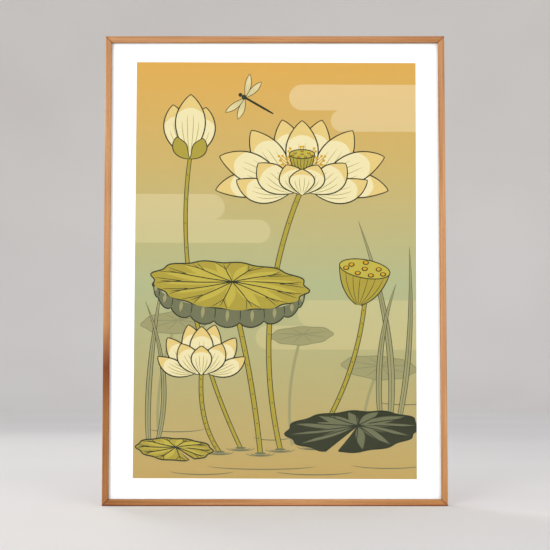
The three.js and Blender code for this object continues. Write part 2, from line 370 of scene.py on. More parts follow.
hardboard, tree, here = new_material("pressed_hardboard")
strewn = []
for degrees in FIBRE_WAYS:
    settings = {"vector_type": "TEXTURE", "Rotation": (0, math.radians(degrees), 0)}
    turned = add(tree, "Mapping", {**settings, "Scale": (FIBRE_STRETCH, 1, 1)}, {"Vector": here})
    settings = {"Scale": per_metre(FIBRE_WIDTH), "Detail": 2.0, "Roughness": 0.6}
    strewn.append(add(tree, "TexNoise", settings, {"Vector": turned}))
upper = add(tree, "Math", {"operation": "MAXIMUM"}, {0: strewn[0], 1: strewn[1]})
fibres = add(tree, "Math", {"operation": "MAXIMUM"}, {0: upper, 1: strewn[2]})
cloud = add(tree, "TexNoise", {"Scale": per_metre(BOARD_CLOUD), "Detail": 2.0}, {"Vector": here})
both = add(tree, "Math", {**SUM, 1: 0.2}, {0: cloud, 2: fibres})
level = add(tree, "MapRange", {"From Min": 0.56, "From Max": 0.84}, {"Value": both})
brown = add(tree, "ValToRGB", {"stops": BROWNS}, {0: level})
wires = [
    add(tree, "TexWave", {"bands_direction": way, "Scale": WAVES}, {"Vector": here}, out=1)
    for way in ("X", "Z")
]
screen = add(tree, "Math", {"operation": "MULTIPLY"}, {0: wires[0], 1: wires[1]})
height = add(tree, "Math", {**SUM, 1: 0.8}, {0: screen, 2: fibres})
pressed = add(tree, "Bump", {"Strength": 0.45, "Distance": 0.12 * MM}, {"Height": height})
dull = add(tree, "MapRange", {"To Min": 0.70, "To Max": 0.92}, {"Value": fibres})
finish = add(tree, "BsdfPrincipled", {"IOR": 1.5},
             {"Base Color": brown, "Roughness": dull, "Normal": pressed})
add(tree, "OutputMaterial", None, {"Surface": finish})
dress(["backing_board"], hardboard)
print("screen of", SCREEN_PITCH, "mm on the backing board")

# %% [markdown]
# ## Zinc-plated steel
# Tabs, straps, rivets and rings are mild steel, stamped or bent cold and then plated with zinc in a
# barrel. Bright zinc is a light metal with a cool cast. Tumbling leaves it satin with small
# scuffs, so its roughness wanders at two sizes. The metal keeps its own index, and colour comes
# from the base colour alone.

# %% Zinc for the fittings
SCUFF_SIZE = 1.1  # mm
CLOUD_SIZE = 6.0  # mm
CASTS = [(0.3, "#A9AEB3"), (0.55, "#BEC2C5"), (0.8, "#CBC9C2")]

zinc, tree, here = new_material("barrel_zinc_on_steel")
cloud = add(tree, "TexNoise", {"Scale": per_metre(CLOUD_SIZE), "Detail": 3.0}, {"Vector": here})
settings = {"Scale": per_metre(SCUFF_SIZE), "Detail": 5.0, "Roughness": 0.7}
scuffs = add(tree, "TexNoise", settings, {"Vector": here})
cast = add(tree, "ValToRGB", {"stops": CASTS}, {0: cloud})
worn = add(tree, "Math", {**SUM, 1: 0.8}, {0: scuffs, 2: cloud})
settings = {"From Min": 0.6, "From Max": 1.2, "To Min": 0.26, "To Max": 0.48}
satin = add(tree, "MapRange", settings, {"Value": worn})
marks = add(tree, "Bump", {"Strength": 0.15, "Distance": 0.03 * MM}, {"Height": scuffs})
finish = add(tree, "BsdfPrincipled", {"Metallic": 1.0},
             {"Base Color": cast, "Roughness": satin, "Normal": marks})
add(tree, "OutputMaterial", None, {"Surface": finish})
tabs = [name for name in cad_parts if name.startswith("tab_")]
dress(tabs, zinc)
print("zinc on", len(tabs), "tabs")

# %% [markdown]
# ## Meshes from rows of points
# Rings, straps and rivets are all made in one way: a loop of points at each step, and a skin of
# quads over the loops. Blender's own curves and primitives could make some of them, but here each
# point goes where the real edge is. Where a line lies flat, its points are complex numbers, which
# turn and add easily.

# %% Points, skins and pieces
def arc(middle, radius, start, end, steps):
    """Points on an arc, from one angle to another."""
    return middle + radius * np.exp(1j * np.linspace(start, end, steps))


def around(count):
    """Angles once round, without the last one."""
    return np.linspace(0, 2 * np.pi, count, endpoint=False)


def across(path):
    """A unit arrow to the left of a path at each of its points."""
    way = np.gradient(path)
    return 1j * way / abs(way)


def new_piece(name, points, faces, finish, smooth=True):
    """A mesh object from points in metres."""
    mesh = bpy.data.meshes.new(name)
    mesh.from_pydata([tuple(p) for p in points], [], faces)
    mesh.materials.append(finish)
    mesh.polygons.foreach_set("use_smooth", [smooth] * len(mesh.polygons))
    piece = bpy.data.objects.new(name, mesh)
    bpy.context.scene.collection.objects.link(piece)
    return piece


def skin(rows, closed_ends=True):
    """Faces over equal rows of points, each row a loop, with a face over each end."""
    count = len(rows[0])
    faces = [
        (row + j, row + (j + 1) % count, row + count + (j + 1) % count, row + count + j)
        for row in range(0, (len(rows) - 1) * count, count)
        for j in range(count)
    ]
    if closed_ends:
        last = (len(rows) - 1) * count
        faces += [tuple(range(count))[::-1], tuple(range(last, last + count))]
    return np.concatenate(rows), faces


box_faces = skin([np.zeros((4, 3)), np.ones((4, 3))])[1]
print("two loops of four points make a box of", len(box_faces), "faces")

# %% [markdown]
# ## The D-rings
# Each ring is a length of 1.8 mm wire bent into a D, with its two ends meeting inside the strap's
# curl. A curve with a round bevel could make it, but its cut ends would stay sharp, so the wire is
# swept here: a circle of points is set at each step along the bent line, a little smaller at the
# two ends, where the cutter's burr was tumbled off. The ring rides on its own body, so it swings
# with the hinge.

# %% Bend the rings
HINGE = {"left": (-0.180, 0.0031, 0.565), "right": (0.180, 0.0031, 0.565)}
WIRE_RADIUS = 0.9  # this and the next five are in mm
RING_HALF_WIDTH = 7.5
RING_SIDE = 5.0
RING_CORNER = 2.2
BUTT_GAP = 0.4
BURR = 0.16
CORNER_STEPS = 12
BOW_STEPS = 49
WIRE_SIDES = 20


def ring_line():
    """The middle of the wire, once round, starting and ending inside the curl."""
    corner = RING_HALF_WIDTH - RING_CORNER
    quarter = math.pi / 2
    return np.concatenate([
        [BUTT_GAP / 2, BUTT_GAP / 2 + BURR, corner / 2],
        arc(corner - 1j * RING_CORNER, RING_CORNER, quarter, 0, CORNER_STEPS),
        [RING_HALF_WIDTH - 1j * (RING_CORNER + RING_SIDE) / 2],
        arc(-1j * RING_SIDE, RING_HALF_WIDTH, 0, -math.pi, BOW_STEPS),
        [-RING_HALF_WIDTH - 1j * (RING_CORNER + RING_SIDE) / 2],
        arc(-corner - 1j * RING_CORNER, RING_CORNER, math.pi, quarter, CORNER_STEPS),
        [-corner / 2, -BUTT_GAP / 2 - BURR, -BUTT_GAP / 2],
    ])


def bent_wire(line, middle):
    """A round wire along a flat line of complex numbers, X + iZ, round a point."""
    thickness = np.full(len(line), WIRE_RADIUS)
    thickness[[0, -1]] -= BURR
    turn = around(WIRE_SIDES)
    rows = []
    for place, normal, radius in zip(line, across(line), thickness):
        flat = place + normal * radius * np.cos(turn)
        rows.append(np.column_stack([flat.real, -radius * np.sin(turn), flat.imag]) * MM + middle)
    return skin(rows)


for side, hinge in HINGE.items():
    points, faces = bent_wire(ring_line(), hinge)
    ring = new_piece(f"d_ring_{side}_wire", points, faces, zinc)
    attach(ring, f"ring_{side}")
    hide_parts(f"d_ring_{side}")
print("each ring has", len(ring_line()), "steps along its wire")

# %% [markdown]
# ## The straps
# A strap is a stamped strip, 0.9 mm thick, with a round lower end. Its upper end is rolled over a
# pin into a curl that holds the ring's bar. It is made the way it is rolled. First comes the flat
# blank: a loop of points round the strip at each step of its length, six on each side, because the
# stamped edge is broken a little and so catches the light. Then one formula rolls the blank up: it
# stays flat below the hinge and follows a circle from there on. A bevel modifier could break the
# edge too, but it shrinks to almost nothing where the steps at the round end lie close together.

# %% Roll the straps
STRIP_THICKNESS = 0.9  # this and the next four are in mm
STRIP_HALF_WIDTH = 4.5
STRIP_LENGTH = 36.0  # from the lower end to the curl
CURL_MIDDLE_RADIUS = 1.65
EDGE_BREAK = 0.14
CURL_TURN = math.radians(292)
EDGE_STEPS = 3
ROUND_END_STEPS = 15
FLAT_STEPS = 8
CURL_STEPS = 40
SHARP = math.radians(60)  # an edge that turns by more than this stays crisp


def broken_edge():
    """How far in and how high each point round the strip's edge lies, from its hollow side."""
    turn = np.linspace(0, math.pi / 2, EDGE_STEPS)
    inset = EDGE_BREAK * (1 - np.sin(turn))
    height = EDGE_BREAK * (1 - np.cos(turn)) - STRIP_THICKNESS / 2
    return zip(np.append(inset, inset[::-1]), np.append(height, -height[::-1]))


def rolled(along, height):
    """Where a place on the flat blank goes when the strip is rolled, as Y + iZ about the hinge."""
    past = along - STRIP_LENGTH
    angle = math.pi - np.maximum(past, 0) / CURL_MIDDLE_RADIUS
    return (CURL_MIDDLE_RADIUS + height) * np.exp(1j * angle) + 1j * np.minimum(past, 0)


def strap_steps():
    """A loop of points round the strip for each step along it, in mm about the hinge."""
    turn = (np.arange(ROUND_END_STEPS) + 0.5) * math.pi / 2 / ROUND_END_STEPS
    flat = np.linspace(STRIP_HALF_WIDTH, STRIP_LENGTH, FLAT_STEPS)
    curl = STRIP_LENGTH + CURL_MIDDLE_RADIUS * np.linspace(0, CURL_TURN, CURL_STEPS)[1:]
    left = []
    for inset, height in broken_edge():
        radius = STRIP_HALF_WIDTH - inset
        along = np.concatenate([STRIP_HALF_WIDTH - radius * np.cos(turn), flat, curl])
        along[-1] -= inset
        half = np.append(radius * np.sin(turn), np.full(len(flat) + len(curl), radius))
        place = rolled(along, height)
        left.append(np.column_stack([-half, place.real, place.imag]))
    right = [line * (-1, 1, 1) for line in left[::-1]]
    return np.stack(left + right, axis=1)


steps = strap_steps()
last = len(steps) - 1
count = len(steps[0])
ends = [(k, k + 1, count - 2 - k, count - 1 - k) for k in range(count // 2 - 1)]
for side, hinge in HINGE.items():
    points, faces = skin(list(steps * MM + hinge), closed_ends=False)
    faces += [face[::-1] for face in ends] + [tuple(last * count + k for k in face) for face in ends]
    strap = new_piece(f"strap_{side}_strip", points, faces, zinc)
    strap.data.set_sharp_from_angle(angle=SHARP)
    strap.modifiers.new("flat_flats", "WEIGHTED_NORMAL").keep_sharp = True
    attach(strap, "frame")
    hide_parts(f"strap_{side}")
print("each strap has", len(steps), "steps, widest", np.ptp(steps[..., 0]), "mm")

# %% [markdown]
# ## The rivets
# Two rivets hold each strap to the board. A rivet's head is a low dome pressed by a cupped tool,
# which leaves a small flat in the middle and a crisp rim. A lathe does it: the outline from the
# shank's end to the top of the head is turned round once, and a flat face closes either end. The
# shank goes through the board, as the real one does.

# %% Turn the rivets
RIVET_DROPS = {"upper": 20, "lower": 30}  # mm under the hinge, and the sizes below are in mm too
BOARD_TO_HINGE = 2.4
SHANK_RADIUS = 1.5
HEAD_RADIUS = 2.7
HEAD_BASE = 1.5  # behind the board
HEAD_HEIGHT = 1.0
HEAD_RIM = 0.15
TOOL_FLAT = 0.7
DOME_STEPS = 14
BOARD_THICKNESS = 3.0
SHANK_BREAK = 0.2
RIM_BREAK = 0.05
LATHE_STEPS = 40


def rivet_outline():
    """Radius and height over the board's back, from the shank's end to the top of the head."""
    t = np.linspace(0, math.acos(TOOL_FLAT / HEAD_RADIUS), DOME_STEPS)
    dome = np.column_stack([
        HEAD_RADIUS * np.cos(t),
        HEAD_BASE + HEAD_RIM + (HEAD_HEIGHT - HEAD_RIM) * np.sin(t),
    ])
    return np.array([
        (SHANK_RADIUS - SHANK_BREAK, -BOARD_THICKNESS),
        (SHANK_RADIUS, SHANK_BREAK - BOARD_THICKNESS),
        (SHANK_RADIUS, HEAD_BASE),
        (HEAD_RADIUS, HEAD_BASE),
        *dome,
    ])


def turned_on_lathe(outline, middle):
    """Turn an outline of radius and height round the Y axis."""
    angle = around(LATHE_STEPS)
    rows = []
    for radius, height in outline:
        x, z = radius * np.cos(angle), radius * np.sin(angle)
        row = np.column_stack([x, np.full(LATHE_STEPS, height), z])
        rows.append(row[::-1] * MM + middle)
    return skin(rows)


def soften(piece, width_mm):
    """Break a piece's sharp edges with a small rounded bevel, and keep its flats flat."""
    bevel = piece.modifiers.new("broken_edges", "BEVEL")
    bevel.width = width_mm * MM
    bevel.segments = 2
    bevel.limit_method = "ANGLE"
    bevel.angle_limit = math.radians(40)
    bevel.harden_normals = True


for side, (x, y, z) in HINGE.items():
    for number, (place, drop) in enumerate(RIVET_DROPS.items(), 1):
        middle = np.array([x, y - BOARD_TO_HINGE * MM, z - drop * MM])
        points, faces = turned_on_lathe(rivet_outline(), middle)
        rivet = new_piece(f"rivet_{side}_{place}", points, faces, zinc)
        soften(rivet, RIM_BREAK)
        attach(rivet, "frame")
        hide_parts(f"rivet_{side}_{number}")
print("rivets:", 2 * len(RIVET_DROPS))

# %% [markdown]
# ## A pen for the picture
# The picture is a lotus pond in the flat manner of old block prints: outlines of even ink, a few
# calm colours, and a sky that fades. It could be an image on the sheet, but an image blurs when
# one comes close. Here it is drawn as shapes, in millimetres from the middle of the picture's lower
# edge, with X + iZ as a complex number. Each shape is laid over those before it, as blocks are
# printed one after another. A pen stroke is a chain of small quads that swells in the middle and
# thins at its ends, as a brush line does.

# %% Fills and strokes
PICTURE_WIDTH = 429.0
PICTURE_HEIGHT = 636.0
shapes = []


def fill(ink, outline):
    """Lay one closed shape of this ink over the picture."""
    shapes.append((ink, np.asarray(outline)))


def bend(start, pull, end, count=24):
    """A curve from start to end that bends towards pull."""
    t = np.linspace(0, 1, count)
    return (1 - t) ** 2 * start + 2 * t * (1 - t) * pull + t * t * end


def band(ink, path, half):
    """A band of quads along a path, half as wide on each side."""
    side = across(path) * half
    left, right = path + side, path - side
    for i in range(len(path) - 1):
        fill(ink, [right[i], right[i + 1], left[i + 1], left[i]])


def pen(path, width, start=0.3, end=0.3, ink="outline"):
    """A stroke that thins to a share of its width at each end."""
    t = np.linspace(0, 1, len(path))
    ends = start * (1 - t) + end * t
    band(ink, path, width / 2 * (ends + (1 - ends) * np.sin(np.pi * t) ** 0.6))


def dot(ink, middle, radius, squash=1.0, count=14):
    """A round or flattened spot."""
    fill(ink, middle + radius * (np.cos(around(count)) + 1j * squash * np.sin(around(count))))


def tilted(degrees):
    """A factor that turns a shape this far anticlockwise."""
    return np.exp(1j * np.radians(degrees))


print("picture", PICTURE_WIDTH, "x", PICTURE_HEIGHT, "mm")

# %% [markdown]
# ## Petals and blooms
# A lotus petal is a pointed spoon: widest past its middle, drawn in to a tip. One function draws
# it along a line that may bend, with a warmer tip, four fine veins and two outline strokes. A
# bloom is then several fans of petals, the back ones first, so that the front ones overlap them.

# %% Petals
PETAL_STEPS = 30
VEIN_START = 3  # the step where a petal's veins begin
TIP_START = 20  # where its warmer tip begins at the sides, and then in the middle
TIP_HEART = 26


def petal(base, tip, lean, width, ink="cream", tint="straw",
          veins=(-0.55, -0.2, 0.2, 0.55), line=2.0):
    """One petal from its base to its tip."""
    path = bend(base, (base + tip) / 2 + 1j * (tip - base) * lean, tip, PETAL_STEPS)
    t = np.linspace(0, 1, PETAL_STEPS)
    half = width / 2 * np.sin(np.pi * t**1.2) ** 0.8
    side = across(path)
    left, right = path + side * half, path - side * half
    fill(ink, np.concatenate([right, left[::-1][1:-1]]))
    if tint:
        hollow = bend(left[TIP_START], path[TIP_HEART], right[TIP_START], 12)[1:-1]
        fill(tint, np.concatenate([right[TIP_START:], left[TIP_START:][::-1][1:], hollow]))
    for vein in veins:
        reach = slice(VEIN_START, TIP_START + 2 - int(9 * abs(vein)))
        pen((path + side * half * vein)[reach], line * 0.5, 0.4, 0.1, "vein")
    pen(left, line, 0.5, 0.7)
    pen(right, line, 0.5, 0.7)


def fan(base, angles, length, width, spread=0.0, droop=0.0, **how):
    """Petals from one base, each at its angle from upright."""
    for angle in angles:
        sideways = math.sin(math.radians(angle))
        root = base + spread * sideways
        petal(root, root + length * 1j * tilted(-angle), droop * sideways, width, **how)


def stamens(base, size, count=26):
    """A brush of stamens, each a thread with a bead on its end."""
    for angle in np.linspace(-64, 64, count):
        reach = size * (0.34 + 0.05 * math.cos(math.radians(15 * angle)))
        thread = base + 1j * tilted(-angle) * np.linspace(0.1 * size, reach, 3)
        pen(thread, 1.5, 0.9, 0.9, "ochre")
        dot("ochre", thread[-1], 2.0)


print("a petal's edge has", 2 * PETAL_STEPS - 2, "points")

# %% [markdown]
# ## Seed heads, stems and sedge
# The lotus seed head is a cone with a flat lid, and each seed sits in its own round hole. Its
# ridges run from the stem up to the rim. Stems carry small thorns, drawn as dots, and the sedge
# blades are long strips that taper to nothing.

# %% Seed heads, stems and sedge
SEED_PLACES = ((0, 0), (-0.27, 0.06), (0.27, 0.06), (-0.12, -0.17), (0.14, -0.17), (0, 0.2),
               (-0.36, -0.07), (0.37, -0.07))
RIDGES = (-0.72, -0.42, -0.12, 0.2, 0.5, 0.8)
THORN_STEPS = 3
SEDGE_STEPS = 26


def seed_head(middle, width, height, tilt=0.0):
    """A cone of ridges under an oval lid with seeds. The middle is the lid's."""
    turn = tilted(tilt)
    half = width / 2
    foot = -1j * height
    left = bend(foot - 4, -0.84 * half - 0.72j * height, -half, 14)
    right = bend(half, 0.84 * half - 0.72j * height, foot + 4, 14)
    fill("leaf", middle + turn * np.concatenate([left, right]))
    for share in RIDGES:
        rim = share * half - 0.09j * width
        ridge = bend(foot + 4 * share, 0.84 * share * half - 0.62j * height, rim, 12)
        pen(middle + turn * ridge, 0.9, 0.6, 0.2)
    pen(middle + turn * left, 1.6, 0.8, 0.8)
    pen(middle + turn * right, 1.6, 0.8, 0.8)
    lid = middle + turn * half * (np.cos(around(48)) + 0.36j * np.sin(around(48)))
    fill("pale_leaf", lid)
    pen(np.append(lid, lid[0]), 1.5, 1, 1)
    for x, z in SEED_PLACES:
        seed = middle + turn * width * (x + 0.62j * z)
        dot("outline", seed, width * 0.062, 0.7)
        dot("ochre", seed + 0.3j, width * 0.04, 0.7)


def stem(path, width):
    """A thorny stem along a path."""
    band("leaf", path, width / 2)
    side = across(path) * width / 2
    pen(path + side, 1.2, 0.9, 0.9)
    pen(path - side, 1.2, 0.9, 0.9)
    for i in range(THORN_STEPS, len(path) - 2, THORN_STEPS):
        dot("outline", path[i] + side[i] * (0.1 if i % 2 else -0.1), 0.9, count=8)


def sedge(root, pull, tip, width):
    """One blade of sedge, with a fold down its middle."""
    path = bend(root, pull, tip, SEDGE_STEPS)
    half = width / 2 * np.sin(np.pi * np.linspace(0.25, 1, SEDGE_STEPS)) ** 0.8
    half[-1] = 0
    side = across(path) * half
    fill("reed_grey", np.concatenate([path - side, (path + side)[::-1][1:]]))
    pen(path + side, 1.0, 0.7, 0.2)
    pen(path - side, 1.0, 0.7, 0.2)
    pen(path[:-4], 0.6, 0.5, 0.1)


print("a seed head holds", len(SEED_PLACES), "seeds")

# %% [markdown]
# ## Leaves
# A lotus leaf is a round dish that the eye meets aslant, so it is drawn as an oval with a wavy rim.
# Veins run out from the point over the stem and fork before the rim, and a paler lens beside each
# gives the folds. A leaf that lies on the water may also be split as far as that point.

# %% Round leaves
BLADE_STEPS = 8  # points on the rim for each vein
NOTCH = 0.1  # half of a notch, in radians


def wavy_oval(middle, width, height, angles, waves, wave, turn):
    """The rim of a leaf seen aslant."""
    reach = 1 + wave * (np.cos(waves * angles) + 0.8 * np.sin(3 * angles) + 0.6 * np.cos(2 * angles))
    return middle + turn * reach * (width / 2 * np.cos(angles) + 1j * height / 2 * np.sin(angles))


def fold(ink, start, end, width):
    """A paler lens between two veins."""
    path = bend(start, (start + end) / 2 + 0.02j * (end - start), end, 12)
    half = across(path) * width / 2 * np.sin(np.pi * np.linspace(0, 1, 12) ** 0.8)
    fill(ink, np.concatenate([path - half, (path + half)[::-1][1:-1]]))


def pad(middle, width, height, hub, veins, tone, pale, tilt=0.0, notch=None):
    """A round leaf with its veins, and a notch at this angle if it has one."""
    turn = tilted(tilt)
    angles = around(veins * BLADE_STEPS)
    if notch is not None:
        angles = math.radians(notch) + np.linspace(NOTCH, 2 * math.pi - NOTCH, len(angles))
    rim = wavy_oval(middle, width, height, angles, veins, 0.035, turn)
    heart = middle + turn * hub
    body = rim if notch is None else np.append(rim, heart)
    fill(tone, body)
    for first in range(0, len(rim), BLADE_STEPS):
        before, end, beside = rim[first + 2 : first + 7 : 2]
        if notch is None or first + BLADE_STEPS < len(rim):  # no fold may cross the notch's edge
            way = beside - heart
            fold(pale, heart + 0.06 * way, heart + 0.93 * way, 1.1 * abs(beside - end))
        pen(bend(heart, (heart + end) / 2 + 0.03j * (end - heart), end, 14)[:-1], 1.5, 1.0, 0.3)
        fork = heart + 0.66 * (end - heart)
        for tip in (before, beside):
            pull = (fork + tip) / 2 + 0.1 * (end - fork)
            pen(bend(fork, pull, fork + 0.9 * (tip - fork), 7), 1.0, 0.8, 0.2)
    pen(np.append(body, body[0]), 2.0, 1, 1)


print("a leaf's rim has", BLADE_STEPS, "points for each vein")

# %% [markdown]
# ## Leaves that droop, and leaves in the haze
# The tall leaf droops in front, which shows its grey underside: a scalloped band hangs from the
# front half of the oval. The far leaves are only a tone and a few veins, as haze takes the rest.

# %% Drooping and far leaves
FAR_VEINS = 8


def skirt(middle, width, height, drop, folds, tone, pale, tilt=0.0):
    """The front of a leaf that droops, as a scalloped band under the oval's front half."""
    turn = tilted(tilt)
    angles = np.linspace(1.03 * math.pi, 1.97 * math.pi, folds * BLADE_STEPS + 1)
    share = np.linspace(0, 1, len(angles))
    top = width / 2 * np.cos(angles) + 1j * height / 2 * np.sin(angles)
    scallops = 0.7 + 0.3 * abs(np.sin(np.pi * share * folds)) ** 0.7
    hang = drop * np.sqrt(np.sin(np.pi * share)) * scallops
    low = top * (1 + 0.03 * np.sin(np.pi * share)) - 1j * hang
    top, low = middle + turn * top, middle + turn * low
    fill(tone, np.concatenate([low, top[::-1][1:-1]]))
    for i in range(BLADE_STEPS // 2, len(top), BLADE_STEPS):
        fold(pale, top[i], 0.3 * top[i] + 0.7 * low[i], 5.5)
    for i in range(BLADE_STEPS, len(top) - 1, BLADE_STEPS):
        pull = 0.6 * top[i] + 0.4 * low[i] + turn * 1.5
        pen(bend(top[i], pull, low[i], 8)[:-1], 1.3, 0.9, 0.3)
    pen(low, 2.0, 0.8, 0.8)


def far_leaf(middle, width, height, root, tilt=0.0):
    """A leaf in the haze: one tone, and veins hardly darker."""
    turn = tilted(tilt)
    angles = around(FAR_VEINS * BLADE_STEPS)
    rim = wavy_oval(middle, width, height, angles, FAR_VEINS, 0.037, turn)
    hub = middle + turn * (0.02 * width + 0.08j * height)
    band("haze_grey", bend(root, (root + middle) / 2 + 0.12j * (middle - root), middle), 2.2)
    fill("haze_grey", rim)
    for i in range(BLADE_STEPS // 2, len(rim), BLADE_STEPS):
        pen(hub + (rim[i] - hub) * np.linspace(0.03, 0.86, 8), 1.1, 0.9, 0.3, "haze_line")
    pen(np.append(rim, rim[0]), 1.2, 1, 1, "haze_line")


print("a far leaf has", FAR_VEINS, "veins")

# %% [markdown]
# ## Mist, water and a dragonfly
# Old prints show mist as level banks with round ends, a little lighter than the sky. Water is only
# a few curved strokes, and a small ring where each stem rises. A dragonfly gives the open sky on
# the left something to hold it.

# %% Mist, water and a dragonfly
CAP_STEPS = 17
WATER_STEPS = 26
RING_SQUASH = 0.2  # how flat a ring on the water looks
WINGS = ((66, 0.62), (100, 0.56))  # degrees from the body, and reach


def mist(left, right, z, thickness):
    """A level bank of mist."""
    radius = thickness / 2
    cap = arc(0, radius, -math.pi / 2, math.pi / 2, CAP_STEPS)
    fill("mist", np.concatenate([right - radius + 1j * z + cap, left + radius + 1j * z - cap]))


def ripple(middle, width, lift=6):
    """One curved stroke of water."""
    angles = np.linspace(1.08 * math.pi, 1.92 * math.pi, WATER_STEPS)
    pen(middle + width / 2 * np.cos(angles) + 1j * lift * np.sin(angles), 1.5, 0.1, 0.1, "water")


def water_ring(middle, width):
    """Rings round a stem where it leaves the water."""
    dot("water", middle, width / 2, RING_SQUASH, 24)
    angles = np.linspace(0.95 * math.pi, 2.05 * math.pi, WATER_STEPS)
    for times in (1.7, 2.5):
        reach = width / 2 * times
        line = middle + reach * (np.cos(angles) + RING_SQUASH * 1j * np.sin(angles))
        pen(line, 1.4, 0.1, 0.1, "water")


def dragonfly(middle, size, heading):
    """A dragonfly seen from above. Its heading is in degrees from upright."""
    ahead = size * 1j * tilted(-heading)
    for side in (1, -1):
        for sweep, reach in WINGS:
            tip = middle + reach * ahead * tilted(side * sweep)
            petal(middle + 0.03 * ahead, tip, 0.04 * side, 0.15 * size, ink="wing", tint=None,
                  veins=(-0.35, 0.35), line=1.1)
    tail = bend(middle + 0.12 * ahead, middle - 0.3 * ahead + 2, middle - 0.72 * ahead + 4, 20)
    pen(tail, 0.055 * size, 1, 0.5)
    dot("deep_leaf", middle + 0.06 * ahead, 0.065 * size)
    dot("outline", middle + 0.17 * ahead, 0.05 * size)


print("a dragonfly has", 2 * len(WINGS), "wings")

# %% [markdown]
# ## The far side of the pond
# What lies furthest away is drawn first, and hazier: the sky, banks of mist, a few leaves without
# outlines, the water and the sedge. Their places are plain lists, which are easy to move about.

# %% Sky, mist and water
MIST_BANKS = ((20, 260, 582, 40), (84, 260, 546, 34), (-260, -78, 412, 40), (-260, -8, 375, 36),
              (34, 260, 250, 40), (-30, 260, 213, 36))
FAR_LEAVES = ((-150 + 236j, 104, 34, -176 + 60j, 5), (158 + 168j, 110, 36, 132 + 50j, -4),
              (40 + 216j, 92, 28, 26 + 50j, 3))
RIPPLES = ((-20 + 20j, 170), (60 + 12j, 120), (-110 + 12j, 100), (-150 + 76j, 90), (196 + 118j, 90),
           (170 + 22j, 110), (-4 + 64j, 60))
SEDGE_BLADES = ((172 + 72j, 192 + 210j, 126 + 392j, 9), (184 + 72j, 212 + 190j, 204 + 352j, 8),
                (162 + 70j, 146 + 190j, 184 + 296j, 8), (-190 + 46j, -200 + 140j, -170 + 312j, 8),
                (-180 + 46j, -150 + 150j, -198 + 268j, 7))

half = PICTURE_WIDTH / 2
fill("sky", [-half, half, half + 1j * PICTURE_HEIGHT, -half + 1j * PICTURE_HEIGHT])
for draw, places in (
    (mist, MIST_BANKS), (far_leaf, FAR_LEAVES), (ripple, RIPPLES), (sedge, SEDGE_BLADES),
):
    for place in places:
        draw(*place)
print("the far side has", len(shapes), "shapes")

# %% [markdown]
# ## Blooms
# A bloom is layers of petals in pairs, from the back to the front, and a single petal is a pair at
# no angle. Written as a table, a layer can be moved or widened without touching the others.

# %% Layers of petals
OPEN_BACK = (
    # drop of the base, angle from upright, length, width, spread, droop
    (0, 14, 1.04, 0.44, 14, 0.0), (0, 36, 1.06, 0.44, 18, -0.05), (0, 0, 1, 0.46, 0.0, 0.0),
    (0, 90, 1.02, 0.36, 22, 0.16), (0, 64, 1.1, 0.42, 22, 0.10),
)
OPEN_FRONT = (
    (2, 78, 0.8, 0.34, 16, -0.22), (4, 50, 0.66, 0.4, 16, -0.14), (6, 24, 0.46, 0.36, 10, -0.05),
    (8, 0, 0.38, 0.36, 0.0, 0.0),
)
HALF_OPEN = (
    (0, 14, 1.12, 0.5, 8, 0.0), (0, 40, 1.04, 0.44, 10, -0.12), (0, 0, 1.05, 0.52, 0.0, 0.0),
    (0, 66, 0.92, 0.36, 10, -0.2), (2, 30, 0.8, 0.46, 8, -0.12), (3, 0, 0.66, 0.46, 0.0, 0.0),
)
BUD_PETALS = ((-26 + 84j, 0.12, 40), (24 + 80j, -0.12, 40), (1 + 100j, 0.0, 46))
BUD_SEPALS = ((-20 + 34j, 0.22), (20 + 32j, -0.22))


def bloom(base, size, layers):
    """Layers of petals in pairs."""
    for drop, angle, length, width, spread, droop in layers:
        angles = (-angle, angle) if angle else (0,)
        fan(base - 1j * drop, angles, length * size, width * size, spread, droop)


def open_bloom(base, size):
    """The wide bloom, with its seed head and stamens between the back and the front petals."""
    bloom(base, size, OPEN_BACK)
    stamens(base + 0.2j * size, 1.12 * size)
    seed_head(base + 0.52j * size, 0.36 * size, 0.3 * size)
    bloom(base, size, OPEN_FRONT)


def closed_bud(base):
    """The bud: three petals in two green sepals."""
    for tip, lean, width in BUD_PETALS:
        petal(base, base + tip, lean, width)
    for tip, lean in BUD_SEPALS:
        petal(base, base + tip, lean, 22, ink="leaf", tint=None, veins=(0,), line=1.6)


print("the open bloom has", sum(1 + (layer[1] > 0) for layer in OPEN_BACK + OPEN_FRONT), "petals")

# %% [markdown]
# ## The composition
# One wide bloom stands high on the right of the middle, and a bud on the left answers it. A large
# leaf in mid height ties the stems together, with a half-open bloom under it and a seed head to
# the right. Dark and light pads lie on the water and give the picture its weight. The stems come
# first, and the leaves and blooms are laid over them.

# %% Draw the pond
OPEN, BUD, POD, LOW, TALL_LEAF = 40 + 438j, -132 + 486j, 136 + 318j, -112 + 158j, -70 + 292j
STEMS = (
    # root, pull, top, width
    (-52 + 46j, -160 + 270j, BUD, 5.5),
    (8 + 44j, -40 + 250j, OPEN + 4j, 7),
    (56 + 48j, 124 + 150j, POD - 50j, 6),
    (-22 + 38j, -36 + 170j, TALL_LEAF, 7),
    (-84 + 40j, -116 + 84j, LOW, 6),
)
STEM_STEPS = 36

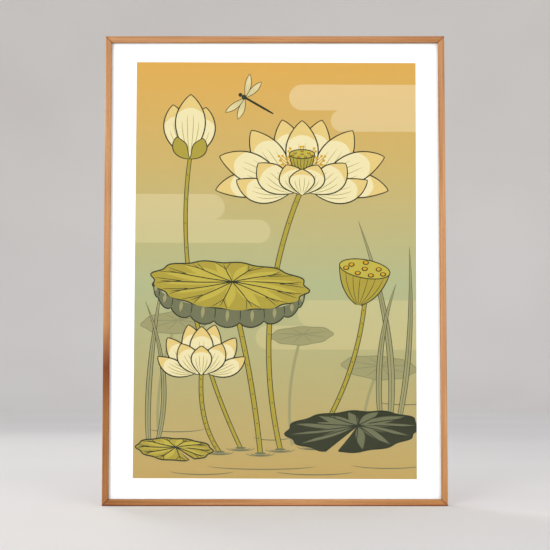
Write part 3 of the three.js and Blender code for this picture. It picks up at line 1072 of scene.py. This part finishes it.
for root, pull, top, width in STEMS:
    stem(bend(root, pull, top, STEM_STEPS), width)
pad(TALL_LEAF, 232, 74, 4 + 6j, 13, "leaf", "pale_leaf", tilt=-4)
skirt(TALL_LEAF, 232, 74, 26, 9, "under_leaf", "reed_grey", tilt=-4)
closed_bud(BUD)
seed_head(POD, 78, 56, tilt=-10)
open_bloom(OPEN, 108)
bloom(LOW, 68, HALF_OPEN)
for root, *_ in STEMS:
    water_ring(root, 17)
pad(118 + 72j, 196, 62, 8 + 8j, 12, "deep_leaf", "under_leaf", tilt=3, notch=250)
pad(-152 + 44j, 112, 34, 2 + 3j, 10, "leaf", "pale_leaf", tilt=-3, notch=300)
dragonfly(-46 + 580j, 62, -58)
print("the pond has", len(shapes), "shapes")

# %% [markdown]
# ## From shapes to one film of ink
# Shapes laid on each other at one height would flicker, and stacked films would cast shadows. So
# all outlines are cut against each other into triangles that touch and never overlap, by a
# constrained Delaunay triangulation. The last shape drawn over a triangle's middle gives its ink.

# %% Cut the shapes apart
CUT_TOLERANCE = 1e-4  # mm


def covers(outline, points):
    """Which of these points lie inside an outline, by how often it winds round them."""
    turns = np.zeros(len(points))
    for start, end in zip(outline, np.roll(outline, -1)):
        left_of = ((end - start).conjugate() * (points - start)).imag > 0
        upward = (start.imag <= points.imag) & (end.imag > points.imag)
        downward = (start.imag > points.imag) & (end.imag <= points.imag)
        turns += (upward & left_of).astype(int) - (downward & ~left_of).astype(int)
    return turns != 0


def cut_apart(drawn):
    """Triangles that touch but never overlap: their points, and the triangles of each ink."""
    corners, edges = [], []
    for _, outline in drawn:
        first, count = len(corners), len(outline)
        edges += [(first + i, first + (i + 1) % count) for i in range(count)]
        corners += [Vector((p.real, p.imag)) for p in outline]
    cut = geometry.delaunay_2d_cdt(corners, edges, [], 0, CUT_TOLERANCE, False)
    places = np.array([complex(*p) for p in cut[0]])
    triangles = np.array(cut[2])
    middles = places[triangles].mean(axis=1)
    order = np.argsort(middles.real)
    sorted_middles = middles[order]
    top = np.full(len(triangles), -1)
    for number, (_, outline) in enumerate(drawn):
        low, high = np.searchsorted(sorted_middles.real, [outline.real.min(), outline.real.max()])
        near = order[low:high]
        level = middles[near].imag
        near = near[(level > outline.imag.min()) & (level < outline.imag.max())]
        top[near[covers(outline, middles[near])]] = number
    top[~covers(drawn[0][1], middles)] = -1
    by_ink = {}
    for triangle, number in zip(triangles.tolist(), top):
        if number >= 0:
            by_ink.setdefault(drawn[number][0], []).append(triangle)
    return places, by_ink


places, by_ink = cut_apart(shapes)
print({ink: len(triangles) for ink, triangles in by_ink.items()})

# %% [markdown]
# ## Laid on the paper
# A print's ink is a film that follows the paper. Each ink becomes one piece here, in a plane just in
# front of the sheet. A printer never lays a sheet in quite straight, so the picture is a hair askew
# and a millimetre off the middle. Its flat map is its own place in the picture.

# %% One ink's film
PRINT_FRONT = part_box("print_sheet")[0][1]
FILM_GAP = 0.12  # mm from the paper; a real film is thinner, this keeps the two apart when drawn
PICTURE_FOOT = 0.0397  # m from the frame's underside to the picture's lower edge
PICTURE_SHIFT = 1.0  # mm to the right
PICTURE_LEAN = -0.2  # degrees, and so clockwise


def film(name, places, triangles, finish):
    """One ink's part of the film, facing the front, with its flat map."""
    used = sorted({corner for triangle in triangles for corner in triangle})
    renumber = {old: new for new, old in enumerate(used)}
    y = PRINT_FRONT - FILM_GAP * MM
    middle = 0.5j * PICTURE_HEIGHT
    set_in = (places[used] - middle) * tilted(PICTURE_LEAN) + middle + PICTURE_SHIFT
    points = [(p.real * MM, y, p.imag * MM + PICTURE_FOOT) for p in set_in]
    faces = [[renumber[corner] for corner in triangle] for triangle in triangles]
    piece = new_piece(name, points, faces, finish, smooth=False)
    flat = piece.data.uv_layers.new(name="OFBake")
    for loop, spot in zip(piece.data.loops, flat.data):
        x, _, z = points[loop.vertex_index]
        spot.uv = (x / (PICTURE_HEIGHT * MM) + 0.5, (z - PICTURE_FOOT) / (PICTURE_HEIGHT * MM))
    return piece


print("the film lies", FILM_GAP, "mm in front of the paper")

# %% [markdown]
# ## Pigment ink on matt paper
# The inks are pigments that sink into the paper's face, so they stay matt and keep its tooth, with
# only a little less roughness where much ink lies. Each is a block colour, as a printer would mix
# it. Two fade from top to bottom, as when a printer wipes a block with two colours: the sky from
# amber through sage to sand, and the mist in a lighter set. The fade is a ramp on the height.

# %% Inks
INKS = {
    "cream": "#DED09E", "straw": "#D5B96F", "outline": "#1C2405", "vein": "#968D45",
    "deep_leaf": "#272B08", "leaf": "#A3912D", "pale_leaf": "#B5A33A", "under_leaf": "#676847",
    "reed_grey": "#958F60", "haze_grey": "#958F60", "haze_line": "#7D7D52", "ochre": "#C69705",
    "water": "#656747", "wing": "#D4C38D",
}
FADES = {
    "sky": [(0.0, "#B69855"), (0.25, "#ACA16B"), (0.46, "#A6A97A"), (0.744, "#BDA35E"),
            (1.0, "#CF9D43")],
    "mist": [(0.0, "#BEA365"), (0.47, "#B7B27F"), (1.0, "#D9B578")],
}


def pigment(ink):
    """Matt pigment ink of one colour, or a fade from the bottom to the top."""
    made, tree, here = new_material("pigment_" + ink)
    settings = {"IOR": 1.45, "Specular IOR Level": 0.3}
    links = {"Roughness": mottle(tree, here, 0.66, 0.8), "Normal": paper_tooth(tree, here, 0.25)}
    if ink in FADES:
        z = add(tree, "SeparateXYZ", None, {"Vector": here}, out="Z")
        ends = {"From Min": PICTURE_FOOT, "From Max": PICTURE_FOOT + PICTURE_HEIGHT * MM}
        height = add(tree, "MapRange", ends, {"Value": z})
        links["Base Color"] = add(tree, "ValToRGB", {"stops": FADES[ink]}, {0: height})
    else:
        settings["Base Color"] = linear(INKS[ink])
    finish = add(tree, "BsdfPrincipled", settings, links)
    add(tree, "OutputMaterial", None, {"Surface": finish})
    return made


for ink, triangles in by_ink.items():
    piece = film("ink_" + ink, places, triangles, pigment(ink))
    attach(piece, "frame")
print("inks:", len(by_ink), "| triangles:", sum(len(t) for t in by_ink.values()))

# %% [markdown]
# ## The studio
# The frame stands on a plain pale floor that curves up into a wall all round, so that every side
# of it is seen against the same calm ground. The curve is one turned profile: a flat disc, a
# quarter circle and a wall. Its warm grey is matt and a little uneven, like painted board.

# %% Build the floor
FLOOR_RADIUS = 5.4
CURVE_RADIUS = 2.0
WALL_HEIGHT = 3.4
FLOOR_DROP = 0.0005  # under the rail, so that the two never share a plane
FLAT_RADII = [0.02, 1.0]
CURVE_STEPS = 25
TURN_STEPS = 96
ROLLER_SIZE = 900  # mm; the slow unevenness of a rolled coat
PAINT_TONES = [(0.3, "#E1DCD0"), (0.7, "#E6E2D6")]

cove, tree, here = new_material("matt_painted_cove")
coat = add(tree, "TexNoise", {"Scale": per_metre(ROLLER_SIZE), "Detail": 2.0}, {"Vector": here})
paint = add(tree, "ValToRGB", {"stops": PAINT_TONES}, {0: coat})
settings = {"Roughness": 0.9, "Specular IOR Level": 0.2}
finish = add(tree, "BsdfPrincipled", settings, {"Base Color": paint})
add(tree, "OutputMaterial", None, {"Surface": finish})

curve = arc(FLOOR_RADIUS + 1j * CURVE_RADIUS, CURVE_RADIUS, -math.pi / 2, 0, CURVE_STEPS)
top = FLOOR_RADIUS + CURVE_RADIUS + 1j * WALL_HEIGHT
turn = around(TURN_STEPS)
rows = []
for p in np.concatenate([FLAT_RADII, curve, [top]]):
    x, y = p.real * np.cos(turn), p.real * np.sin(turn)
    rows.append(np.column_stack([x, y, np.full(TURN_STEPS, p.imag - FLOOR_DROP)]))
points, faces = skin(rows, closed_ends=False)
faces.append(tuple(range(TURN_STEPS))[::-1])
cove_floor = new_piece("studio_floor", points, [face[::-1] for face in faces], cove)
print("floor radius", FLOOR_RADIUS, "m, wall to", WALL_HEIGHT, "m")

# %% [markdown]
# ## Light
# Daylight from a large window to the upper left is the key: it brightens the edges that face it
# and leaves the inner edges of the left and top rails a little darker. A weaker panel on the right
# fills. A lamp with a limited beam is brightest straight ahead, so each of the two is aimed past
# the frame's far side: the bright middle of one falls where the other fades, and the paper is lit
# evenly. A small panel beside the frame, in its own plane, lights only the edges that face left. A
# fourth lights the back, and a pale sky does the rest. The exposure puts the paper's white just at
# the top of the scale.

# %% Set the lamps
LAMPS = {
    # name: place, the point that it is aimed at, size, power, spread in degrees, colour
    "window": ((-1.85, -5.2, 1.1), (0.8, 0, 0.5), 1.9, 36.0, 80, "#F4F4FF"),
    "fill_panel": ((2.0, -4.8, 1.0), (-0.8, 0, 0.45), 1.7, 14.0, 80, "#F4F4FF"),
    "edge_panel": ((-4.0, 0.25, 0.45), (0, 0, 0.5), 0.6, 2.6, 22, "#FFFFFF"),
    "back_panel": ((-1.6, 3.4, 2.2), (0, 0, 0.5), 1.8, 9.8, 80, "#FFFFFF"),
}
for name, (place, aim, size, power, spread, code) in LAMPS.items():
    lamp = bpy.data.lights.new(name, "AREA")
    lamp.shape = "DISK"
    lamp.size = size
    lamp.spread = math.radians(spread)
    lamp.energy = power
    lamp.color = linear(code)[:3]
    holder = bpy.data.objects.new(name, lamp)
    holder.location = place
    holder.rotation_euler = (Vector(aim) - Vector(place)).to_track_quat("-Z", "Y").to_euler()
    holder.visible_camera = False
    bpy.context.scene.collection.objects.link(holder)

SKY_STRENGTH = 0.925
world = bpy.data.worlds.new("pale_sky")
world.use_nodes = True
world.node_tree.nodes["Background"].inputs["Color"].default_value = linear("#EAEDFF")
world.node_tree.nodes["Background"].inputs["Strength"].default_value = SKY_STRENGTH
bpy.context.scene.world = world

EXPOSURE = 0.0
bpy.context.scene.view_settings.view_transform = "Standard"
bpy.context.scene.view_settings.exposure = EXPOSURE
print("lamps:", ", ".join(LAMPS))
